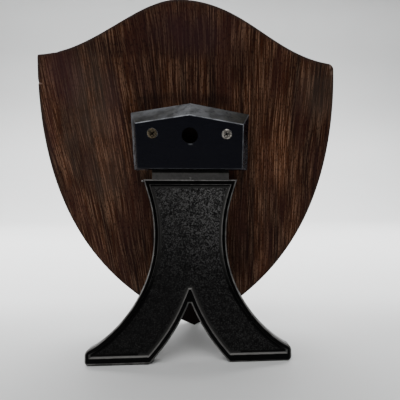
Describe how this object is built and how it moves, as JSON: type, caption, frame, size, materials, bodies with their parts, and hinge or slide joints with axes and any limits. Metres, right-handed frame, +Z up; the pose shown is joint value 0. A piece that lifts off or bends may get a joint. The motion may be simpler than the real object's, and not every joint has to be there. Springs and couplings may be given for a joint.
{
  "type": "award plaque",
  "caption": "Shield-shaped walnut plaque that leans back on a plug-in plastic easel leg, with a bracket that also hangs on a nail.",
  "frame": {"origin": "on the ground under the middle of the whole object", "axes": "+Z up, the plain front of the board faces -Y and the easel stands at +Y; X runs across the board"},
  "size_m": [0.2014, 0.0776, 0.2398],
  "materials": {
    "walnut": "dark walnut, thin satin lacquer, worn edges",
    "bracket_plastic": "smooth black moulded plastic, a little dusty",
    "leg_plastic": "black moulded plastic, stippled panel inside a smooth rim",
    "dull_screw": "dull brass-toned plating",
    "bright_screw": "aged nickel plating"
  },
  "bodies": {
    "root": {"shield_panel": "walnut", "easel_bracket": "bracket_plastic", "easel_leg": "leg_plastic", "screw_left": "dull_screw", "screw_right": "bright_screw"}
  },
  "joints": []
}
